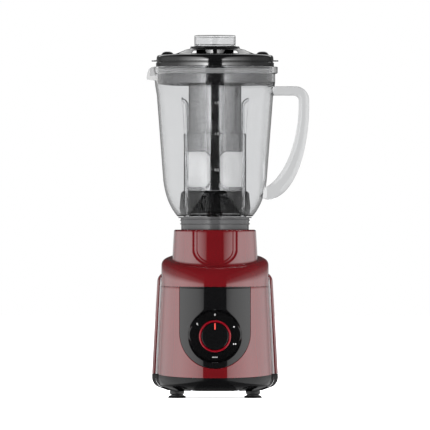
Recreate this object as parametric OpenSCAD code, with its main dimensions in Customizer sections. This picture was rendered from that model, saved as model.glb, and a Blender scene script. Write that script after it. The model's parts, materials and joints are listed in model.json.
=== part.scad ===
// Countertop blender: a red motor base, a clear jar with its handle, a lid,
// a juice filter and a measuring cap.
// +Z is up, the front faces -Y, the handle points to +X and the spout to -X.
// The origin is in the middle of the floor area that the whole blender covers, so the
// motor axis stands axis_x to the left of it. Every module is drawn around the motor axis.

/* [Motor base] */
// Radius of the front shell at the flat seam under the shoulder
front_top_r = 62; // [61:0.5:63]
// Radius of the front shell at the seam above the bottom cover
front_low_r = 67; // [66:0.5:68]
// Radius of the rear shell at the flat seam
rear_top_r = 67.3; // [66.5:0.1:68]
// Radius of the rear shell at the seam above the bottom cover
rear_low_r = 73.1; // [72.5:0.1:74]
// Height of the flat seam under the shoulder
seam_z = 128.8; // [128:0.1:130]
// Height of the seam above the bottom cover, at the sides
cover_z = 27.7; // [27:0.1:29]
// How far that seam drops towards the middle of the front
cover_dip = 4.2; // [0:0.1:5]
// Height of the underside
under_z = 8.2; // [8:0.1:8.6]
// Thickness of the moulded shells
wall = 2.4; // [2:0.1:2.6]

/* [Shoulder and tower] */
// Height of the sloping shoulder where it meets the motor axis plane
shoulder_z = 160.5; // [159:0.1:162]
// Backward slope of the shoulder's top in degrees
shoulder_tilt = 9; // [7:0.5:10]
// Radius of the tower's rim
tower_r = 47.8; // [47:0.1:48.5]
// Height of the tower's rim
tower_z = 194.7; // [194:0.1:196]
// Height of the floor that the jar's collar stands over
seat_z = 180; // [179.5:0.1:180]

/* [Controls] */
// Half width of the front panel
panel_w = 41; // [39:0.5:42]
// Height of the knob's axis
dial_z = 72; // [71:0.5:73]
// Radius of the round dial recess
dial_r = 28.8; // [28:0.1:29.5]
// Radius of the knob
knob_r = 18.6; // [18:0.1:20]

/* [Motor] */
// Radius of the motor shaft
shaft_r = 4; // [3.9:0.05:4.1]
// Radius of the rotor's iron core
rotor_r = 19; // [18:0.1:19.2]
// Height of the iron stack
stack_h = 34; // [30:0.5:34]
// Underside of the iron stack
stack_z = 92; // [91:0.5:93]

/* [Jar] */
// Outer radius of the jar under its rim
jar_r = 69.8; // [69.4:0.1:70.2]
// Height of the jar's rim
rim_z = 383.5; // [383:0.1:383.6]
// Thickness of the jar's wall
jar_wall = 2.5; // [2.3:0.1:2.6]
// Width of the handle's strap
handle_w = 20; // [16:1:24]
// Reach of the pouring spout from the axis
spout_reach = 79.3; // [77:0.1:80]
// Reach of the handle from the axis
handle_reach = 109.3; // [106:0.1:112]

/* [Lid, filter and cap] */
// Height of the lid's shoulder
lid_z = 397; // [396.5:0.1:397.5]
// Radius of the filter's upper tube
tube_r = 30.5; // [30:0.1:30.6]
// Radius of the filter's basket
basket_r = 36.2; // [36:0.1:36.6]
// Radius of the measuring cap
cap_r = 23.9; // [23:0.1:25]
// Height of the whole blender, at the top of the cap
total_h = 420; // [418:0.5:422]

/* [Hidden] */
$fn = 96;

gap = 0.3;
fit = 0.05;
slip = 0.02;
far = 200;
axis_x = (spout_reach - handle_reach) / 2;

cover_arc = 12;
cover_arc_z = 25;
cover_slant = 30;
rear_round = 12;
rear_round_z = 134;
trim_w = 1.6;
trim_t = 1.3;
trim_top = 141;
shoulder_r = 62.3;
shoulder_round = 8;
recess_r = 43.6;
floor_t = 3;

foot_x = 44;
foot_y = 30;
foot_r = 10.1;
post_x = 25;
post_y = 40;
post_r = 4.4;
post_z = 26;
post_top = 40;
boss_top = 16.6;
gland_z = 40;
gland_r = 6;
cord_bore_r = 3.6;

panel_low_z = 75.7;
dial_floor = 56;
knob_front = 69.4;
switch_front = 53.4;
switch_r = 3;

stack_x = 38;
stack_y = 30;
bolt_x = 31;
bolt_y = 24.5;
mount_x = 22;
mount_y = 31;
bolt_r = 2;
plate_t = 4;
low_plate_z = 56;
up_plate_z = 136;
boss_z = 146;
bearing_r = 9;
comm_z = 70;
comm_r = 11;
brush_z = 76;
pole_x = [22, 30];
pole_y = [13, 19];
fan_z = 38;
coupling_z = 183;
lug_z = 186.8;
lug_h = 3.4;
pin_y = 36;
pin_r = 2.5;

jar_foot_z = 210.2;
jar_neck_r = 36.2;
bowl_z = 252;
bowl_r = 60;
body_z = 350;
body_r = 67.4;
rim_ring_r = 72.7;
rim_ring_z = 376;
blade_z = 221;

// ---- functions and shared shapes ----

// Points along an arc round c, from angle a0 to angle a1
function arc(c, r, a0, a1, n = 8) =
    [for (i = [0:n]) let (a = a0 + (a1 - a0) * i / n) c + r * [cos(a), sin(a)]];

// Points along a cubic curve
function curve(a, b, c, d, n = 12) =
    [for (i = [0:n]) let (t = i / n, s = 1 - t)
        s*s*s * a + 3*s*s*t * b + 3*s*t*t * c + t*t*t * d];

function backwards(list) = [for (i = [len(list) - 1:-1:0]) list[i]];

// Radius of the front and rear shells at height z
function front_r(z) = front_top_r + (front_low_r - front_top_r) * (seam_z - z) / (seam_z - cover_z);
function rear_r(z) = rear_top_r + (rear_low_r - rear_top_r) * (seam_z - z) / (seam_z - cover_z);

// Outline of the bottom cover's side, t inside the surface: upright, round, then slanting
function cover_side(r, t) = let (
    round_end = [r - cover_arc + (cover_arc - t) * cos(60), cover_arc_z - (cover_arc - t) * sin(60)],
    run = (round_end[1] - under_z - t) / tan(cover_slant))
    concat(arc([r - cover_arc, cover_arc_z], cover_arc - t, 0, -60, 6),
           [[round_end[0] - run, under_z + t]]);

module rod(r, z0, z1) translate([0, 0, z0]) cylinder(r = r, h = z1 - z0);

module ring(r_out, r_in, z0, z1) difference() {
    rod(r_out, z0, z1);
    rod(r_in, z0 - 1, z1 + 1);
}

// Four copies, at the corners of a rectangle
module corners(x, y) for (sx = [-1, 1], sy = [-1, 1]) translate([sx * x, sy * y, 0]) children();

module around(count, start = 0) for (i = [0:count - 1]) rotate([0, 0, start + i * 360 / count]) children();

// Half a turned shape: the front half or the rear half
module front_half(points) rotate([0, 0, 180]) rotate_extrude(angle = 180) polygon(points);
module rear_half(points) rotate_extrude(angle = 180) polygon(points);

// A flat shape drawn upright and extruded towards the front, from depth d0 to d1
module forward(d0, d1, z = 0) translate([0, -d0, z]) rotate([90, 0, 0]) linear_extrude(d1 - d0) children();

// A slab standing on the plane y = 0, behind it
module slab(depth) translate([-far / 2, 0, 0]) cube([far, depth, far]);

// Everything below the dipping seam of the front
module below_dip(shift = 0) translate([0, 0, cover_z + shift]) rotate([atan(cover_dip / front_low_r), 0, 0])
    translate([-far / 2, -far / 2, -far]) cube([far, far, far]);

module rounded_rect(w, h, r) {
    square([w - 2 * r, h], center = true);
    square([w, h - 2 * r], center = true);
    for (sx = [-1, 1], sy = [-1, 1]) translate([sx * (w / 2 - r), sy * (h / 2 - r)]) circle(r);
}

// A coil spring between z0 and z1, of square wire that is 2 * wire thick
module spring(r, wire, z0, z1, turns) {
    a = 360 * wire * turns / (z1 - z0);
    translate([0, 0, z0]) linear_extrude(z1 - z0, twist = -360 * turns, slices = 12 * turns, $fn = 12)
        polygon(concat(arc([0, 0], r + wire, -a, a, 4), backwards(arc([0, 0], r - wire, -a, a, 4))));
}

// ---- motor base: shells ----

module shoulder_solid(inset) hull() {
    rod(shoulder_r - inset, seam_z, seam_z + 0.1, $fn = 64);
    translate([0, 0, shoulder_z]) rotate([shoulder_tilt, 0, 0]) for (a = [0:22.5:90])
        translate([0, 0, -shoulder_round - inset + shoulder_round * sin(a)])
            cylinder(r = shoulder_r - inset - shoulder_round * (1 - cos(a)), h = 0.02, $fn = 64);
}

module tower_profile(grow) rotate_extrude() polygon(concat(
    [[0, seam_z + 12], [50.4 + grow, seam_z + 12], [50 + grow, 168]],
    arc([tower_r + grow - 1.6, tower_z - 1.6], 1.6, 0, 90, 4),
    [[0, tower_z]]));

// A sunken field in the tower's front: straight sides and a round foot
module sunken_pad(half, depth) difference() {
    forward(0, 70) union() {
        translate([-half, 172]) square([2 * half, 30]);
        translate([0, 172]) scale([1, 0.74]) circle(half);
    }
    tower_profile(-depth);
}

module top_cover() color("firebrick") {
    difference() {
        union() {
            shoulder_solid(0);
            tower_profile(0);
        }
        sunken_pad(25, 1);
        sunken_pad(21.2, 1.4);
        shoulder_solid(wall);
        translate([0, 0, seam_z - 1]) cylinder(r = shoulder_r - wall, h = 8);
        translate([0, 0, seam_z]) cylinder(r1 = 47.6, r2 = 45.4, h = seat_z - floor_t - seam_z);
        rod(recess_r, seat_z, far);
        rod(bearing_r + slip, 0, far);
        translate([0, pin_y, 0]) rod(pin_r + fit, 0, far);
    }
    corners(mount_x, mount_y) difference() {
        rod(4.5, boss_z, seat_z - floor_t + 0.5);
        rod(bolt_r + fit, boss_z - 1, boss_z + 16);
    }
    around(4, 45) translate([39.6, -3, seat_z - 0.5]) cube([recess_r - 39, 6, 9]);
}

module panel_outline(grow) {
    translate([-panel_w - grow, panel_low_z]) square([2 * (panel_w + grow), far]);
    translate([0, panel_low_z]) circle(panel_w + grow);
}

// A screw boss with a rib that ties it to the shell's wall
module housing_post(rib) translate([post_x, post_y, 0]) difference() {
    union() {
        rod(post_r, post_z + 0.1, post_top);
        rotate([0, 0, atan2(post_y, post_x)]) translate([1, -1.2, post_z + 2])
            cube([rib - 1, 2.4, post_top - post_z - 4]);
    }
    rod(bolt_r + slip, 0, post_top - 2);
}

module front_housing() color("firebrick") difference() {
    union() {
        front_half([[front_r(18) - wall, 18], [front_r(18), 18],
            [front_top_r, seam_z], [front_top_r - wall, seam_z]]);
        for (sx = [0, 1]) rotate([0, 0, 180]) mirror([sx, 0, 0]) housing_post(18);
    }
    below_dip();
    forward(30, 90) panel_outline(0);
}

module rear_housing() color("darkred") difference() {
    union() {
        rear_half(concat([[rear_low_r - wall, cover_z], [rear_low_r, cover_z]],
            arc([rear_r(rear_round_z) - rear_round, rear_round_z], rear_round, 0, 50, 6),
            [[shoulder_r + gap, 143.2], [shoulder_r + gap, seam_z], [rear_r(120) - wall, 120]]));
        intersection() {
            rear_half([[front_low_r - wall, cover_z], [rear_low_r, cover_z],
                [rear_r(rear_round_z), rear_round_z], [shoulder_r + gap, seam_z],
                [front_top_r - wall, seam_z]]);
            slab(wall);
        }
        for (sx = [0, 1]) mirror([sx, 0, 0]) housing_post(23.8);
    }
    translate([0, 0, gland_z]) rotate([-90, 0, 0]) rod(gland_r + slip, 60, 90);
}

// Silver strip in the step between the front and rear shells
module side_trim() rotate([90, 0, 0]) linear_extrude(trim_t) polygon(concat(
    backwards(arc([front_low_r + slip - cover_arc, cover_arc_z], cover_arc, 0, -60, 6)),
    [[front_r(cover_z) + slip, cover_z], [shoulder_r + slip, seam_z], [shoulder_r + slip, trim_top],
     [shoulder_r + trim_w, trim_top - 1], [front_r(seam_z) + trim_w, seam_z],
     [front_r(cover_z) + trim_w, cover_z]],
    arc([front_low_r - cover_arc, cover_arc_z], cover_arc + trim_w, 0, -58, 6)));

module right_trim() color("silver") side_trim();
module left_trim() color("silver") mirror([1, 0, 0]) side_trim();

module control_panel() color("#101010") difference() {
    union() {
        intersection() {
            front_half([[front_r(30) - wall, 30], [front_r(30), 30],
                [front_top_r, seam_z - 0.15], [front_top_r - wall, seam_z - 0.15]]);
            forward(30, 90) panel_outline(-0.15);
        }
        intersection() {
            front_half([[front_r(30) - 2 * wall, 30], [front_r(30) - wall - slip, 30],
                [front_top_r - wall - slip, seam_z - 0.15], [front_top_r - 2 * wall, seam_z - 0.15]]);
            forward(30, 90) panel_outline(2);
        }
        intersection() {
            forward(dial_floor - wall, 63, dial_z) circle(dial_r + 2);
            front_half([[0, 30], [front_r(30), 30], [front_top_r, seam_z], [0, seam_z]]);
        }
    }
    forward(dial_floor, 90, dial_z) circle(dial_r);
    forward(40, 90, dial_z) circle(switch_r + 0.4);
}

function cover_shell(r) = concat([[r, cover_z]], cover_side(r, 0), [[0, under_z], [0, under_z + wall]],
    backwards(cover_side(r, wall)), [[r - wall, cover_z]]);

module bottom_cover() color("#151515") difference() {
    union() {
        intersection() {
            front_half(cover_shell(front_low_r));
            below_dip();
        }
        rear_half(cover_shell(rear_low_r));
        intersection() {
            rear_half(concat([[rear_low_r, cover_z]], cover_side(rear_low_r, 0),
                backwards(cover_side(front_low_r, wall)), [[front_low_r - wall, cover_z]]));
            slab(wall);
        }
        corners(post_x, post_y) rod(5, under_z, post_z);
        corners(foot_x, foot_y) rod(8.8, under_z, boss_top);
    }
    corners(post_x, post_y) {
        rod(bolt_r + fit, 0, far);
        rod(4, 0, 11.2);
    }
    corners(foot_x, foot_y) rod(3 + fit, 0, far);
    for (y = [-18:6:18]) translate([-20, y - 1.5, 0]) cube([40, 3, 20]);
}

module feet() color("#1c1c1c") corners(foot_x, foot_y) rotate_extrude() polygon([
    [0, 0], [foot_r, 0], [foot_r, 1.2], [6.6, 2.6], [6.6, 3.8], [8.3, 4.8], [8.3, under_z],
    [3, under_z], [3, boss_top + 0.1], [4.6, boss_top + 0.1], [3.4, boss_top + 3], [0, boss_top + 3]]);

module housing_screws() color("gainsboro") corners(post_x, post_y) {
    rod(3.7, under_z + 0.3, 11.1);
    rod(bolt_r - slip, 11, post_top - 4);
}

module cord_gland() color("#202020") translate([0, 0, gland_z]) rotate([-90, 0, 0]) difference() {
    union() {
        rod(gland_r, 66, 73);
        rod(8.5, 72.8, 75);
        rod(8.5, 63, 66.2);
    }
    rod(cord_bore_r, 0, 90);
}

module terminal_block() color("ivory") difference() {
    translate([-14, 34, under_z + wall + 0.1]) cube([28, 12, 10]);
    for (x = [-8, 0, 8]) translate([x, 40, 0]) rod(1.6, 15, 60);
}

// ---- motor base: motor ----

module motor_plate(z) difference() {
    union() {
        translate([0, 0, z]) linear_extrude(plate_t) rounded_rect(2 * stack_x, 2 * stack_y, 8);
        rod(12, z, z + 10);
    }
    rod(6, z - 1, z + plate_t);
    rod(bearing_r + slip, z + 2, z + 20);
    corners(bolt_x, bolt_y) rod(bolt_r + fit, z - 1, z + 10);
}

module bracket_post(z0, z1) corners(bolt_x, bolt_y) ring(5, bolt_r + fit, z0, z1);

module lower_bracket() color("silver") {
    motor_plate(low_plate_z);
    bracket_post(low_plate_z + 1, stack_z - slip);
}

module upper_bracket() color("silver") {
    difference() {
        union() {
            motor_plate(up_plate_z);
            corners(mount_x, mount_y) rod(7, up_plate_z, up_plate_z + plate_t);
        }
        corners(mount_x, mount_y) rod(bolt_r + fit, up_plate_z - 1, up_plate_z + 10);
    }
    bracket_post(stack_z + stack_h + slip, up_plate_z + 1);
}

module upper_bearing() color("lightgrey") ring(bearing_r, shaft_r + fit, up_plate_z + 2, up_plate_z + 9);
module lower_bearing() color("lightgrey") ring(bearing_r, shaft_r + fit, low_plate_z + 2, low_plate_z + 9);

module motor_screws() color("gainsboro") corners(bolt_x, bolt_y) {
    rod(4, low_plate_z - 3.2, low_plate_z);
    rod(bolt_r, low_plate_z - 1, up_plate_z + plate_t + 4);
    rod(3.8, up_plate_z + plate_t, up_plate_z + plate_t + 3.2, $fn = 6);
}

module mount_screws() color("gainsboro") corners(mount_x, mount_y) {
    rod(4, up_plate_z - 2.8, up_plate_z);
    rod(bolt_r, up_plate_z - 1, boss_z + 12);
}

module motor_mounts() color("#303030") corners(mount_x, mount_y)
    ring(6.2, bolt_r + slip, up_plate_z + plate_t, boss_z);

module stator_core() color("slategrey") translate([0, 0, stack_z]) linear_extrude(stack_h) difference() {
    rounded_rect(2 * stack_x, 2 * stack_y, 8);
    circle(rotor_r + 0.6);
    corners((pole_x[0] + pole_x[1]) / 2, (pole_y[0] + pole_y[1]) / 2)
        square([pole_x[1] - pole_x[0] + 0.4, pole_y[1] - pole_y[0] + 0.4], center = true);
    corners(bolt_x, bolt_y) circle(bolt_r + fit);
}

// One field coil round each pole: a flat frame standing in the slots
module stator_coils() color("peru") for (sx = [0, 1]) mirror([sx, 0, 0])
    translate([pole_x[0], 0, stack_z + stack_h / 2]) rotate([90, 0, 90])
        linear_extrude(pole_x[1] - pole_x[0]) difference() {
            rounded_rect(2 * pole_y[1], stack_h + 16, 5);
            square([2 * pole_y[0], stack_h + 0.2], center = true);
        }

module motor_shaft() color("lightgrey") rod(shaft_r, fan_z - 2, lug_z - 0.8);

module rotor_core() color("slategrey") difference() {
    rod(rotor_r, stack_z, stack_z + stack_h);
    rod(shaft_r + slip, 0, far);
    around(12) translate([rotor_r - 3, 0, 0]) rod(1.9, 0, far);
}

module rotor_windings() color("chocolate") {
    for (z = [stack_z - 6, stack_z + stack_h + slip]) ring(rotor_r - 1.2, 7, z, z + 6 - slip);
    around(12) translate([rotor_r - 3, 0, 0]) rod(1.6, stack_z - 2, stack_z + stack_h + 2);
}

module commutator() color("peru") difference() {
    rod(comm_r, comm_z, comm_z + 12);
    rod(shaft_r + slip, 0, far);
    around(24) translate([comm_r - 0.8, -0.2, 0]) cube([2, 0.4, far]);
}

module brush_holders() color("goldenrod") for (sx = [0, 1]) mirror([sx, 0, 0]) {
    difference() {
        translate([14, -5, brush_z - 4.5]) cube([21, 10, 9]);
        translate([13, -4.1, brush_z - 3.6]) cube([20.5, 8.2, 7.2]);
    }
    translate([20, -4, low_plate_z + plate_t]) cube([8, 8, brush_z - 4.4 - low_plate_z - plate_t]);
}

module carbon_brushes() color("#2a2a2a") for (sx = [0, 1]) mirror([sx, 0, 0]) difference() {
    translate([comm_r - 2, -4, brush_z - 3.5]) cube([14, 8, 7]);
    rod(comm_r + 2 * fit, 0, far);
}

module brush_springs() color("silver") for (sx = [0, 1]) mirror([sx, 0, 0])
    translate([0, 0, brush_z]) rotate([0, 90, 0]) spring(2.6, 0.4, comm_r + 12.1, 33.4, 4);

module cooling_fan() color("#404040") {
    ring(8, shaft_r + slip, fan_z, fan_z + 12);
    ring(30, 7, fan_z + 10.5, fan_z + 12);
    around(9) rotate([0, 0, 12]) translate([7.5, -0.75, fan_z]) cube([21.5, 1.5, 11]);
}

// ---- motor base: couplings, switches, seal and wiring ----

module lugs(z, start) around(4, start) translate([0, 0, z]) rotate([0, 0, -20])
    rotate_extrude(angle = 40) translate([8, 0]) square([6.6, lug_h]);

module drive_coupling() color("#1a1a1a") {
    ring(15, shaft_r + slip, coupling_z, lug_z);
    lugs(lug_z, 0);
}

module driven_coupling() color("#1a1a1a") {
    ring(15, shaft_r + slip, lug_z + lug_h + gap, lug_z + lug_h + gap + 3.2);
    lugs(lug_z + 2 * gap, 45);
}

module shaft_seal() color("#262626") difference() {
    union() {
        rod(bearing_r, seat_z - floor_t, seat_z + 0.2);
        rod(11, seat_z, seat_z + 1.2);
    }
    rod(shaft_r + 2 * fit, 0, far);
}

module rotary_switch() color("#3a3a3a") difference() {
    union() {
        forward(33, switch_front, dial_z) square([26, 24], center = true);
        for (x = [-8, 0, 8]) translate([x, 0, 0]) forward(28, 34, dial_z) square([0.8, 5], center = true);
    }
    forward(35, 60, dial_z) circle(switch_r + fit);
}

module interlock_switch() color("#3a3a3a") {
    translate([-10, pin_y - 4, 147]) cube([20, 8, 11]);
    translate([-1.2, pin_y - 1.2, 147]) cube([2.4, 2.4, 13.5]);
}

module interlock_spring() color("silver") translate([0, pin_y, 0]) spring(3.6, 0.4, 158.4, 170, 4);

module interlock_pin() color("#1a1a1a") translate([0, pin_y, 0]) {
    rod(pin_r, 161, seat_z);
    rod(4.2, 170.5, 172.5);
}

// Leads from the mains block to the switches and the brushes, point by point
leads = [
    [[-8, 40, 23], [-8, 44, 50], [-46, 30, 58], [-46, -12, 66], [-8, -26, 70]],
    [[8, 40, 23], [8, 44, 54], [8, 46, 130], [6, 38, 145]],
    [[40, 0, 76], [44, -12, 66], [8, -26, 70]],
    [[-40, 0, 76], [-50, 10, 90], [-44, 34, 118], [-38, 42, 138], [-6, 41, 145]]
];
lead_r = 1.2;

module lead(points) {
    for (i = [0:len(points) - 2]) let (v = points[i + 1] - points[i])
        translate(points[i]) rotate([0, acos(v[2] / norm(v)), atan2(v[1], v[0])]) rod(lead_r, 0, norm(v));
    for (point = points) translate(point) sphere(lead_r + 0.3);
}

module wiring() color("royalblue") for (points = leads) lead(points);

// ---- knob ----

module switch_shaft() color("silver") forward(36, 65, dial_z) circle(switch_r);

module knob_body() color("#0c0c0c") difference() {
    union() {
        forward(dial_floor + 0.5, knob_front - 3.4, dial_z) circle(knob_r - 0.4);
        forward(dial_floor + 0.5, knob_front - 0.4, dial_z) circle(knob_r - 2.9);
    }
    forward(dial_floor, 65.1, dial_z) circle(switch_r + slip);
    forward(knob_front - 1, knob_front, dial_z) translate([0, 11.5]) square([1.9, 7.8], center = true);
}

module knob_ring() color("crimson") forward(knob_front - 3.4, knob_front, dial_z) difference() {
    circle(knob_r);
    circle(knob_r - 2.9 + slip);
}

module knob_pointer() color("tomato") forward(knob_front - 0.98, knob_front - 0.2, dial_z)
    translate([0, 11.5]) square([1.86, 7.76], center = true);

// ---- jar ----

jar_outer = concat(
    [[jar_neck_r, 205.2], [jar_neck_r, jar_foot_z]],
    backwards(curve([bowl_r, bowl_z], [58, 236], [53.5, 222], [43.6, jar_foot_z])),
    [[body_r, body_z], [jar_r, 366], [jar_r, rim_ring_z - 0.4], [rim_ring_r, rim_ring_z],
     [rim_ring_r, rim_z - 0.5], [rim_ring_r - 0.5, rim_z]]);
jar_inner = concat(
    [[jar_r - jar_wall, rim_z], [jar_r - jar_wall, 366], [body_r - jar_wall, body_z]],
    curve([bowl_r - 2.7, bowl_z], [55.3, 236.5], [51, 224], [41.5, 213.2]),
    [[33, 213.2], [33, 205.2]]);

handle_in = handle_reach - 12.1;
handle_outline = concat(
    [[65.9, 361]], arc([handle_reach - 16, 345], 16, 90, 0),
    curve([handle_reach, 318], [handle_reach, 272], [86, 229.5], [60, 229.5]),
    [[53.6, 231.5], [56.9, 244]],
    backwards(curve([handle_in, 330], [handle_in, 290], [78, 256], [60, 244.5])),
    backwards(arc([handle_in - 6, 344.3], 6, 90, 0)), [[65.9, 350.3]]);

module jar_rib() rotate([90, 0, 0]) linear_extrude(2.2, center = true) polygon([
    [66, 349], [58.6, 252], [56, 237], [51.6, 226], [44.5, 215.2], [42.3, 214.6],
    [46.5, 226], [50.5, 240], [52.5, 252], [58.5, 332], [61, 343]]);

module spout_block(x0, x1, w, z0, z1) translate([-x1, -w, z0]) cube([x1 - x0, 2 * w, z1 - z0]);

module jar() color("whitesmoke", 0.5) {
    difference() {
        union() {
            rotate_extrude() polygon(concat(jar_outer, [[0, rim_z], [0, 205.2]]));
            hull() {
                spout_block(66, rim_ring_r, 17, rim_z - 1, rim_z);
                spout_block(66, jar_r - 0.6, 17, 368, 369);
                spout_block(70, spout_reach - 2.3, 10, 379.5, 380.9);
                spout_block(70, spout_reach - 0.7, 6.5, 374, 376);
                spout_block(spout_reach - 1.2, spout_reach, 4, 369, 371.5);
            }
        }
        rotate_extrude() polygon(concat(jar_inner, [[0, 205.2], [0, rim_z + 0.1]]));
        hull() {
            spout_block(60, rim_ring_r - 1.5, 14.4, 374, far * 2);
            spout_block(spout_reach - 4.6, spout_reach - 3.8, 3, 372.5, far * 2);
        }
    }
    for (a = [60, 120, 240, 300]) rotate([0, 0, a]) jar_rib();
    rotate([90, 0, 0]) linear_extrude(handle_w, center = true) polygon(handle_outline);
}

module jar_collar() color("#4a4a4c") rotate_extrude() polygon([
    [36.6, seat_z + gap], [38.4, seat_z + gap], [39.2, 181.3], [39.2, 200.6],
    [40.3, 200.9], [40.3, 202.1], [39.4, 202.4], [39.4, 204.7], [40.4, 205], [40.4, 206.2],
    [39.6, 206.5], [39.6, 208], [42.4, 208.3], [42.4, 209.7], [36.6, 209.7],
    [36.6, 200.2], [12, 200.2], [12, 197.2], [36.6, 197.2]]);

module jar_gasket() color("gainsboro") ring(jar_neck_r, 30, 203.2, 205.2);

module blade_carrier() color("#3c3c3e") difference() {
    union() {
        rod(jar_neck_r, 200.2, 203.2);
        rod(bearing_r, 195.2, 214);
    }
    rod(6.5 + slip, 0, 300);
}

module blade_bush() color("goldenrod") ring(6.5, shaft_r + fit, 195.2, 214);
module blade_seal() color("#303030") ring(8, shaft_r + 2 * fit, 214, 217);

module blade_shaft() color("lightgrey") {
    rod(shaft_r, lug_z + lug_h + gap, blade_z - 2.2);
    rod(3, blade_z - 2.5, blade_z + 11);
}

module blade_spacers() color("silver") {
    ring(6, 3 + slip, blade_z - 2.2, blade_z);
    ring(6, 3 + slip, blade_z + 1.5, blade_z + 4);
}

// A two-winged blade; tilt is the angle that its wings rise by
module blade(z, tilt) translate([0, 0, z]) {
    ring(8, 3 + slip, 0, 1.5);
    for (a = [0, 180]) rotate([0, 0, a]) {
        translate([5.5, -6.2, 0]) cube([4, 12.4, 1.5]);
        translate([8.6, -6, 0.1]) rotate([0, -tilt, 0]) linear_extrude(1.3)
            polygon([[0, 0], [18.4, 3], [18.9, 6], [14.4, 12], [0, 12]]);
    }
}

module lower_blade() color("silver") blade(blade_z, -18);
module upper_blade() color("silver") rotate([0, 0, 90]) blade(blade_z + 4, 26);

module blade_nut() color("silver") difference() {
    union() {
        rod(5.2, blade_z + 5.5, blade_z + 10, $fn = 6);
        rod(3.8, blade_z + 9.9, blade_z + 12.5);
    }
    rod(3 + slip, 0, blade_z + 11.1);
}

// ---- lid, filter and cap ----

neck_r = 19.6;
plug_r = 19.2;

module lid() color("#0c0c0c") difference() {
    union() {
        rotate_extrude() polygon(concat(
            [[64, 364], [66.2, 364], [66.2, 375.8], [65.4, 376], [65.4, 381.2], [66.2, 381.4],
             [66.2, rim_z + gap], [68.4, rim_z + gap], [68.4, 388.2], [67.2, 388.6], [67.2, 389.4],
             [68, 389.8], [67.6, lid_z - 4]],
            arc([63.6, lid_z - 4], 4, 0, 90, 5),
            [[46, 398.4], [35.2, 402.6], [28.2, 405.4], [28.2, 407.2], [neck_r, 407.2], [neck_r, 384],
             [21.6, 384], [21.6, 402.4], [26, 402.4], [34, 399.8], [45.4, 395.8], [64, 394.2]]));
        ring(33.2, tube_r + 0.1, 386, 401);
        for (sx = [-1, 1]) {
            intersection() {
                translate([sx * 55, 0, 393.5]) sphere(8);
                rod(100, 395.5, 410);
            }
            intersection() {
                translate([sx * 70 - 5, -11, 389.8]) cube([10, 22, 1.2]);
                ring(73.6, 66.5, 380, 395);
            }
        }
    }
    difference() {
        translate([-25.5, -60, 398.9]) cube([51, 120, 4.2]);
        rod(21.6, 390, 410);
    }
}

module lid_seal() color("gainsboro") ring(67, 65.4 + slip, 376.1, 381.1);

module filter_tube() color("dimgray") ring(tube_r, tube_r - 1.8, 303, 398.3);

module filter_basket() color("dimgray") difference() {
    rotate_extrude() polygon([
        [tube_r + 0.1, 303], [tube_r + 0.1, 311], [tube_r + 1.2, 311], [basket_r, 305.5],
        [basket_r, 240], [basket_r - 2, 240], [basket_r - 2, 303]]);
    around(4, 45) rotate([90, 0, 90]) translate([0, 264.5, 15]) linear_extrude(40) rounded_rect(42.4, 41, 5);
}

module filter_base() color("#303032") rotate_extrude() polygon([
    [basket_r - 2.7, 213.6], [40.4, 213.6], [41.2, 219], [39.6, 237.2], [basket_r + 0.2, 240],
    [basket_r - 2.2, 240], [basket_r - 2.7, 236]]);

module filter_mesh() color("white", 0.6) ring(basket_r - 2.05, basket_r - 2.45, 240.5, 290);

module measuring_cap() color("whitesmoke", 0.5) rotate_extrude() polygon([
    [0, total_h], [cap_r - 0.6, total_h], [cap_r, total_h - 0.8], [cap_r, 407.5], [plug_r, 407.5],
    [plug_r, 388], [plug_r - 1.6, 388], [plug_r - 1.6, 409.3], [cap_r - 1.8, 409.3],
    [cap_r - 1.8, total_h - 1.8], [0, total_h - 1.8]]);

// ---- drawing ----

module place() translate([axis_x, 0, 0]) children();

place() top_cover();
place() front_housing();
place() rear_housing();
place() left_trim();
place() right_trim();
place() control_panel();
place() bottom_cover();
place() feet();
place() housing_screws();
place() cord_gland();
place() terminal_block();
place() wiring();
place() upper_bracket();
place() lower_bracket();
place() motor_screws();
place() mount_screws();
place() motor_mounts();
place() stator_core();
place() stator_coils();
place() upper_bearing();
place() lower_bearing();
place() brush_holders();
place() carbon_brushes();
place() brush_springs();
place() rotary_switch();
place() interlock_switch();
place() interlock_spring();
place() shaft_seal();
place() motor_shaft();
place() rotor_core();
place() rotor_windings();
place() commutator();
place() cooling_fan();
place() drive_coupling();
place() switch_shaft();
place() knob_body();
place() knob_ring();
place() knob_pointer();
place() interlock_pin();
place() jar();
place() jar_collar();
place() jar_gasket();
place() blade_carrier();
place() blade_bush();
place() blade_seal();
place() blade_shaft();
place() driven_coupling();
place() blade_spacers();
place() lower_blade();
place() upper_blade();
place() blade_nut();
place() lid();
place() lid_seal();
place() filter_tube();
place() filter_basket();
place() filter_base();
place() filter_mesh();
place() measuring_cap();
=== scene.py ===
import json
import math

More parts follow.
